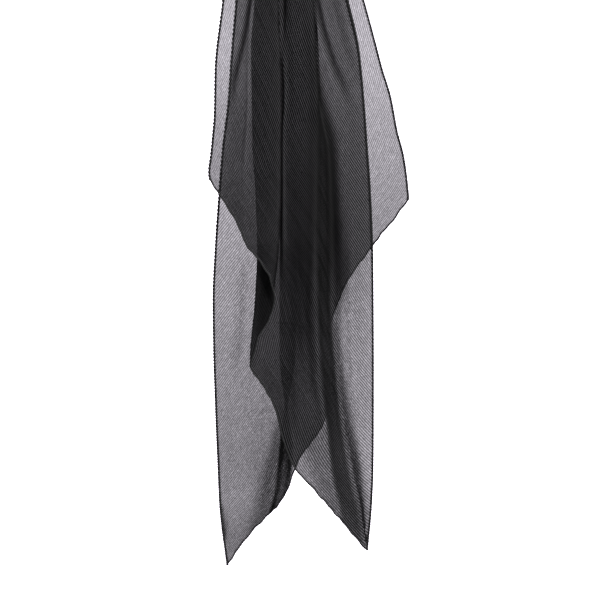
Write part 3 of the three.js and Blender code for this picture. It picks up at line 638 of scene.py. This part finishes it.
def chiffonMaterial():
    look = chiffonLook
    material, nodes, links, shader = newMaterial("pleated chiffon", look["dark"], look["roughness"])
    tree = material.node_tree
    shader.inputs["Sheen Weight"].default_value = look["sheen"]
    shader.inputs["Sheen Roughness"].default_value = look["sheenRoughness"]
    shader.inputs["Sheen Tint"].default_value = (*look["sheenTint"], 1)
    shader.inputs["Specular IOR Level"].default_value = look["specular"]
    uv = nodes.new("ShaderNodeUVMap")
    uv.uv_map = "flat cloth"
    place = nodes.new("ShaderNodeSeparateXYZ")
    links.new(uv.outputs["UV"], place.inputs[0])

    def noise(scaleAlong, scaleAcross, detail, label):
        mapping = nodes.new("ShaderNodeMapping")
        mapping.inputs["Scale"].default_value = (scaleAlong, scaleAcross, 1)
        links.new(uv.outputs["UV"], mapping.inputs["Vector"])
        texture = nodes.new("ShaderNodeTexNoise")
        texture.label = label
        texture.inputs["Scale"].default_value = 1
        texture.inputs["Detail"].default_value = detail
        links.new(mapping.outputs[0], texture.inputs["Vector"])
        return mathNode(tree, "SUBTRACT", texture.outputs["Fac"], 0.5)

    streaks = noise(*look["streakScale"], detail=2, label="streaks along the pleats")
    blotches = noise(look["blotchScale"], look["blotchScale"], detail=3, label="uneven dye")
    speckles = noise(*look["speckleScale"], detail=1, label="speckles where the weave is more open")
    yarns = noise(look["yarnScale"], look["yarnScale"], detail=1, label="crepe yarn")
    turns = mathNode(tree, "MULTIPLY", place.outputs["Y"], math.pi / pleats["flank"])
    wander = mathNode(tree, "MULTIPLY_ADD", blotches, look["ribWander"] * 2 * math.pi, turns)
    ribs = mathNode(tree, "SINE", wander)
    depth = nodes.new("ShaderNodeAttribute")
    depth.attribute_name = "veil"
    uneven = mathNode(tree, "MULTIPLY_ADD", ribs, look["ribContrast"], 1)
    for part, amount in (
            (streaks, look["streaks"]), (blotches, look["blotches"]), (speckles, look["speckles"]),
            (yarns, look["yarns"])):
        uneven = mathNode(tree, "MULTIPLY_ADD", part, 2 * amount, uneven)
    facing = nodes.new("ShaderNodeAttribute")
    facing.attribute_name = "lit"
    # painted highlight: a narrow band on one flank of each pleat gets the lit colour, scaled by the painted
    # light share in the lit attribute; the rest keeps the dark colour
    crest = mathNode(tree, "POWER", mathNode(tree, "MULTIPLY_ADD", ribs, -0.5, 0.5), look["narrow"])
    shade = nodes.new("ShaderNodeMix")
    shade.data_type = "RGBA"
    shade.inputs[6].default_value = (*look["dark"], 1)
    shade.inputs[7].default_value = (*look["lit"], 1)
    links.new(mathNode(tree, "MULTIPLY", crest, facing.outputs["Fac"]), shade.inputs[0])
    links.new(shade.outputs[2], shader.inputs["Base Color"])
    stopped = mathNode(tree, "MULTIPLY", depth.outputs["Fac"], mathNode(tree, "MULTIPLY", uneven, -1))
    passing = mathNode(tree, "EXPONENT", stopped)
    links.new(mathNode(tree, "SUBTRACT", 1, passing), shader.inputs["Alpha"])
    bump = nodes.new("ShaderNodeBump")
    bump.inputs["Strength"].default_value = look["yarnBump"]
    bump.inputs["Distance"].default_value = look["yarnDepth"]
    links.new(yarns, bump.inputs["Height"])
    links.new(bump.outputs[0], shader.inputs["Normal"])
    return material


threadLook = {
    "overlock": (0.006, 0.006, 0.0062),  # colours
    "hem": (0.008, 0.008, 0.0085),
    "shades": (0.5, 2.0),  # darkest and lightest, in shares of the colour
    "roughness": 0.6,
    "sheen": 0.15,
    "twistScale": 1500,
    "twistBump": 0.4,
    "twistDepth": 0.0002,
}


def threadMaterial(name, colour):
    look = threadLook
    material, nodes, links, shader = newMaterial(name, colour, look["roughness"])
    shader.inputs["Sheen Weight"].default_value = look["sheen"]
    where = nodes.new("ShaderNodeTexCoord")
    texture = nodes.new("ShaderNodeTexNoise")
    texture.inputs["Scale"].default_value = look["twistScale"]
    links.new(where.outputs["Object"], texture.inputs["Vector"])
    shade = nodes.new("ShaderNodeValToRGB")
    for element, share in zip(shade.color_ramp.elements, look["shades"]):
        element.color = (*[c * share for c in colour], 1)
    links.new(texture.outputs["Fac"], shade.inputs[0])
    links.new(shade.outputs[0], shader.inputs["Base Color"])
    bump = nodes.new("ShaderNodeBump")
    bump.inputs["Strength"].default_value = look["twistBump"]
    bump.inputs["Distance"].default_value = look["twistDepth"]
    links.new(texture.outputs["Fac"], bump.inputs["Height"])
    links.new(bump.outputs[0], shader.inputs["Normal"])
    return material


chiffon = chiffonMaterial()
overlockThread = threadMaterial("overlock thread", threadLook["overlock"])
hemCloth = threadMaterial("rolled hem", threadLook["hem"])
print("materials made")


# how much light the cloth stops at each drop, as an optical depth: least where its weight pulls it open
veil = {
    "byDrop": [(0, 1.8), (.25, 1.83), (.32, 1.84), (.43, 2.03), (.64, 2.36), (.78, 2.39), (.9, 2.43),
               (1.05, 2.52)],
    "gathered": 0.5,  # powers of how gathered it is, and of how far it turns away from the fall's plane
    "turned": 1.6,
    "most": 3.5,
    "gatheredFrom": 0.6,  # limits of how gathered it counts as
    "gatheredTo": 1.6,
}
# painted light and shade: how much of the painted rib highlight the cloth gets
lit = {
    "single": 1.25,  # share of the painted rib highlight that plain cloth gets
    "bunchedLoss": 0.75,  # painted shade: bunched cloth gets little of it
    "least": 0.05,
    "most": 1.3,
    "edgeOn": 1.25,  # painted shade: and cloth that stands edge-on gets little of it
}
sheets = {
    "frontFall": {
        "levels": (bightLevel, levels[-1]), "samples": "front",
        "replaces": ["front_left_stretch", "front_first_turn", "front_middle_stretch", "front_second_turn",
                     "front_right_stretch"],
    },
    "backFall": {
        "levels": (levels[0], -bightLevel), "samples": "back",
        "replaces": ["back_right_stretch", "back_first_turn", "back_middle_stretch", "back_second_turn",
                     "back_left_stretch"],
    },
    "topBight": {
        "levels": (-bightLevel, bightLevel), "samples": "top",
        "replaces": ["top_bight"],
    },
}


def veilDepth(points, gathered, turned, thickAndShaded):
    drops = np.clip(-points[..., 2].ravel(), 0, veil["byDrop"][-1][0])
    depth = readTable(veil["byDrop"], drops)[:, 0].reshape(gathered.shape)
    depth *= np.clip(gathered, veil["gatheredFrom"], veil["gatheredTo"]) ** veil["gathered"]
    # the crease thickening also makes the cloth more opaque, which darkens the near-black cloth where those
    # creases paint shade
    depth *= np.minimum(np.maximum(turned, 1e-3) ** -veil["turned"], veil["most"]) * thickAndShaded
    return depth


# painted light and shade: the painted rib highlight, less where the cloth bunches or stands edge-on, more
# where a crease adds painted highlight
def litShare(turned, thickAndShaded, light):
    share = np.clip(lit["single"] - lit["bunchedLoss"] * (thickAndShaded - 1), lit["least"], lit["most"])
    return share * smooth(lit["edgeOn"] * turned) + light


def makeSheets():
    made = {}
    for name, sheet in sheets.items():
        points, flat, gathered, turned, thickAndShaded, light, size = pleatedPatch(
            *sheet["levels"], pleats["alongSamples"][sheet["samples"]])
        piece = gridMesh(name, points, flat, {
            "veil": veilDepth(points, gathered, turned, thickAndShaded), "lit": litShare(turned, thickAndShaded, light)})
        piece.data.materials.append(chiffon)
        steps = np.diff(flat, axis=0)[:, :-1, 1] * np.diff(flat, axis=1)[:-1, :, 0]
        area = float(np.abs(steps).sum())
        made[name] = {"piece": piece, "flat": size, "area": area}
        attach(piece, "root")
        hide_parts(*sheet["replaces"])
        hung = sum(face.area for face in piece.data.polygons)
        print(name, 2 * len(piece.data.polygons), "triangles, hung", round(hung, 4), "cut", round(area, 4))
    return made


made = makeSheets()

# thread wrapped round an edge: a core that swells at each pleat, and loops of thread that lean over unevenly
overlock = {
    "coreRadius": 0.00150, "swell": 0.20, "loopSpacing": 0.0013, "loopRadius": 1.10, "loopThickness": 0.18,
    "lean": 0.25, "unevenLean": 0.22, "seed": 7,
}
rolledHem = {
    "coreRadius": 0.00130, "swell": 0.12, "loopSpacing": 0.0021, "loopRadius": 1.10, "loopThickness": 0.17,
    "lean": 0.85, "unevenLean": 0.20, "seed": 11, "samples": 420,
    "wave": 0.0042,  # from one swelling to the next
    "wander": 0.0006,  # how far it sways up and down, and over what lengths
    "sway": (0.0031, 0.0052, 0.017),
}
hardPull = {"drop": 0.38, "over": 0.12, "most": 0.35}  # the front's right edge is rolled thicker down to here


def edgeLine(u):  # points from the back corner over the top to the front one, and how swollen the edge is
    numbers = np.arange(pleats["count"] * pleats["facets"] + 1) / pleats["facets"]
    across = np.full((len(numbers), 1), u)
    points = pleatedPoints(numbers, across, pleatStart(numbers)[:, None] + cloth["slant"] * across)[0][:, 0]
    swelling = 1 + overlock["swell"] * np.cos(2 * math.pi * numbers)
    if u > 0:
        past = smooth((-points[:, 2] - hardPull["drop"] + hardPull["over"]) / hardPull["over"])
        swelling *= 1 + hardPull["most"] * (points[:, 1] < 0) * (1 - past)
    return points, swelling


def hemLine(number):  # points along an end of the cloth, and how swollen the hem is
    column = 1 / pleats["facets"]
    numbers = np.array([number, number + (column if number == 0 else -column)])
    wide = np.zeros(2), np.full(2, cloth["width"])
    u, rest = pleatLines(numbers, *wide, rolledHem["samples"])
    points = pleatedPoints(numbers, u, rest)[0][0]
    lengths = np.concatenate([[0], np.cumsum(np.linalg.norm(np.diff(points, axis=0), axis=1))])
    quick, steady, slow = rolledHem["sway"]
    sway = np.sin(lengths / quick + 1.5 * np.sin(lengths / slow)) + 0.8 * np.sin(lengths / steady + 2)
    points[:, 2] += rolledHem["wander"] * sway
    return points, 1 + rolledHem["swell"] * np.cos(2 * math.pi * lengths / rolledHem["wave"])


threadInputs = {  # what each input of the tree is called, and where its value is
    "Core Radius": "coreRadius", "Loop Spacing": "loopSpacing", "Loop Radius": "loopRadius",
    "Loop Thickness": "loopThickness", "Lean": "lean", "Uneven Lean": "unevenLean", "Seed": "seed",
}
sides = {"core": 7, "loop": 9, "strand": 4}  # corners of each round


def threadTree(name):
    tree = bpy.data.node_groups.new(name, "GeometryNodeTree")
    face = tree.interface
    face.new_socket("Geometry", in_out="INPUT", socket_type="NodeSocketGeometry")
    sockets = {}
    for label in (*threadInputs, "Thread"):
        kind = {"Seed": "Int", "Thread": "Material"}.get(label, "Float")
        sockets[label] = face.new_socket(label, in_out="INPUT", socket_type="NodeSocket" + kind).identifier
    face.new_socket("Geometry", in_out="OUTPUT", socket_type="NodeSocketGeometry")
    nodes, links = tree.nodes, tree.links
    given, result = nodes.new("NodeGroupInput"), nodes.new("NodeGroupOutput")

    def node(kind, *wires):
        added = nodes.new(kind)
        for socket, source in wires:
            if isinstance(source, bpy.types.NodeSocket):
                links.new(source, added.inputs[socket])
            else:
                added.inputs[socket].default_value = source
        return added

    def circle(corners, radius):
        ring = node("GeometryNodeCurvePrimitiveCircle", ("Resolution", corners), ("Radius", radius))
        return ring.outputs[0]

    swelling = node("GeometryNodeInputNamedAttribute", ("Name", "swelling"))
    radius = node("ShaderNodeMath", (0, swelling.outputs[0]), (1, given.outputs["Core Radius"]))
    radius.operation = "MULTIPLY"
    run = node("GeometryNodeMeshToCurve", ("Mesh", given.outputs["Geometry"]))
    core = node("GeometryNodeCurveToMesh", ("Curve", run.outputs[0]),
                ("Profile Curve", circle(sides["core"], 1.0)), ("Scale", radius.outputs[0]),
                ("Fill Caps", True))
    spots = node("GeometryNodeCurveToPoints", ("Curve", run.outputs[0]))
    spots.mode = "LENGTH"
    links.new(given.outputs["Loop Spacing"], spots.inputs["Length"])
    loop = node("GeometryNodeCurveToMesh", ("Curve", circle(sides["loop"], given.outputs["Loop Radius"])),
                ("Profile Curve", circle(sides["strand"], given.outputs["Loop Thickness"])))
    most, least = node("ShaderNodeCombineXYZ"), node("ShaderNodeCombineXYZ")
    for ends, operation in ((most, "ADD"), (least, "SUBTRACT")):
        reach = node("ShaderNodeMath", (0, given.outputs["Lean"]), (1, given.outputs["Uneven Lean"]))
        reach.operation = operation
        links.new(reach.outputs[0], ends.inputs["X"])
    lean = nodes.new("FunctionNodeRandomValue")
    lean.data_type = "FLOAT_VECTOR"
    links.new(least.outputs[0], lean.inputs[0])
    links.new(most.outputs[0], lean.inputs[1])
    links.new(given.outputs["Seed"], next(socket for socket in lean.inputs if socket.name == "Seed"))
    turned = nodes.new("FunctionNodeRotateRotation")
    turned.rotation_space = "LOCAL"
    links.new(spots.outputs["Rotation"], turned.inputs[0])
    links.new(node("FunctionNodeEulerToRotation", ("Euler", lean.outputs[0])).outputs[0], turned.inputs[1])
    loops = node("GeometryNodeInstanceOnPoints", ("Points", spots.outputs["Points"]),
                 ("Instance", loop.outputs[0]), ("Rotation", turned.outputs[0]), ("Scale", radius.outputs[0]))
    joined = nodes.new("GeometryNodeJoinGeometry")
    links.new(loops.outputs[0], joined.inputs[0])
    links.new(core.outputs[0], joined.inputs[0])
    real = node("GeometryNodeRealizeInstances", ("Geometry", joined.outputs[0]))
    smoothed = node("GeometryNodeSetShadeSmooth", ("Geometry", real.outputs[0]))
    finished = node("GeometryNodeSetMaterial", ("Geometry", smoothed.outputs[0]),
                    ("Material", given.outputs["Thread"]))
    links.new(finished.outputs[0], result.inputs[0])
    return tree, sockets


def makeThread(name, line, look, material, replaced):
    points, swelling = line
    mesh = bpy.data.meshes.new(name + " run")
    mesh.from_pydata(points.tolist(), [(i, i + 1) for i in range(len(points) - 1)], [])
    mesh.attributes.new("swelling", "FLOAT", "POINT").data.foreach_set("value", swelling.astype(np.float32))
    run = bpy.data.objects.new(name + " run", mesh)
    bpy.context.scene.collection.objects.link(run)
    tree, sockets = threadTree(name)
    modifier = run.modifiers.new("thread", "NODES")
    modifier.node_group = tree
    for label, key in threadInputs.items():
        modifier[sockets[label]] = look[key]
    modifier[sockets["Thread"]] = material
    depsgraph = bpy.context.evaluated_depsgraph_get()
    plain = bpy.data.meshes.new_from_object(run.evaluated_get(depsgraph), depsgraph=depsgraph)
    run.modifiers.clear()
    piece = bpy.data.objects.new(name, plain)
    plain.name = name
    bpy.context.scene.collection.objects.link(piece)
    bpy.data.objects.remove(run)
    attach(piece, "root")
    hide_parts(replaced)
    print(name, sum(len(face.vertices) - 2 for face in plain.polygons), "triangles")
    return piece


leftOverlock = makeThread(
    "leftOverlock", edgeLine(0), overlock, overlockThread, "left_edge_overlock")
rightOverlock = makeThread(
    "rightOverlock", edgeLine(cloth["width"]), overlock, overlockThread, "right_edge_overlock")
frontRolledHem = makeThread(
    "frontRolledHem", hemLine(pleats["count"]), rolledHem, hemCloth, "front_end_hem")
backRolledHem = makeThread("backRolledHem", hemLine(0), rolledHem, hemCloth, "back_end_hem")

studio = {
    "view": (0.0266, -9.0, -0.672),  # where the camera stands, level
    "frameWidth": 0.840,  # how wide a view it takes in, at the cloth
    "sensor": 36,
    "farthest": 60,
    "backdrop": (2.62, 2.49, 2.73),  # brightness of what is seen behind it
    "ambient": (0.07, 0.07, 0.075),  # light that falls on it from all round
    "aim": (0.0, 0.0, -0.6),  # where the lamps point
    "lamps": {  # place, size and power
        "key light": ((2.0, -1.6, 1.1), 0.8, 75),
        "fill light": ((-2.2, -2.0, -0.4), 1.8, 5),
        "back light": ((-1.2, 2.6, 0.4), 1.6, 40),
    },
    "floorDrop": 1.20,
    "floorRadius": 1.3,
    "floorColour": (0.82, 0.82, 0.83),
    "floorRoughness": 0.9,
}


def makeStudio():
    camera = bpy.data.objects.new("camera", bpy.data.cameras.new("camera"))
    camera.location = studio["view"]
    camera.rotation_euler = (math.pi / 2, 0, 0)
    camera.data.sensor_width = studio["sensor"]
    camera.data.lens = studio["sensor"] * -studio["view"][1] / studio["frameWidth"]
    camera.data.clip_end = studio["farthest"]
    bpy.context.scene.collection.objects.link(camera)
    bpy.context.scene.camera = camera
    world = bpy.data.worlds.new("white studio")
    bpy.context.scene.world = world
    world.use_nodes = True
    nodes, links = world.node_tree.nodes, world.node_tree.links
    nodes.clear()
    path, blend = nodes.new("ShaderNodeLightPath"), nodes.new("ShaderNodeMixShader")
    for socket, colour in ((1, studio["ambient"]), (2, studio["backdrop"])):
        glow = nodes.new("ShaderNodeBackground")
        glow.inputs["Color"].default_value = (*[c / max(colour) for c in colour], 1)
        glow.inputs["Strength"].default_value = max(colour)
        links.new(glow.outputs[0], blend.inputs[socket])
    links.new(path.outputs["Is Camera Ray"], blend.inputs[0])
    links.new(blend.outputs[0], nodes.new("ShaderNodeOutputWorld").inputs[0])
    for name, (place, size, power) in studio["lamps"].items():
        lamp = bpy.data.lights.new(name, "AREA")
        lamp.size, lamp.energy = size, power
        light = bpy.data.objects.new(name, lamp)
        light.location = place
        aim = np.array(studio["aim"]) - np.array(place)
        tilt, heading = math.acos(-aim[2] / np.linalg.norm(aim)), math.atan2(aim[0], -aim[1]) + math.pi
        light.rotation_euler = (tilt, 0, heading)
        bpy.context.scene.collection.objects.link(light)
    bpy.ops.mesh.primitive_circle_add(
        vertices=96, radius=studio["floorRadius"], fill_type="NGON", location=(0, 0, -studio["floorDrop"]))
    floor = bpy.context.object
    floor.name = "floor"
    floor.data.materials.append(newMaterial("pale floor", studio["floorColour"], studio["floorRoughness"])[0])


makeStudio()
bpy.context.scene.view_settings.view_transform = "Standard"
print("studio set")
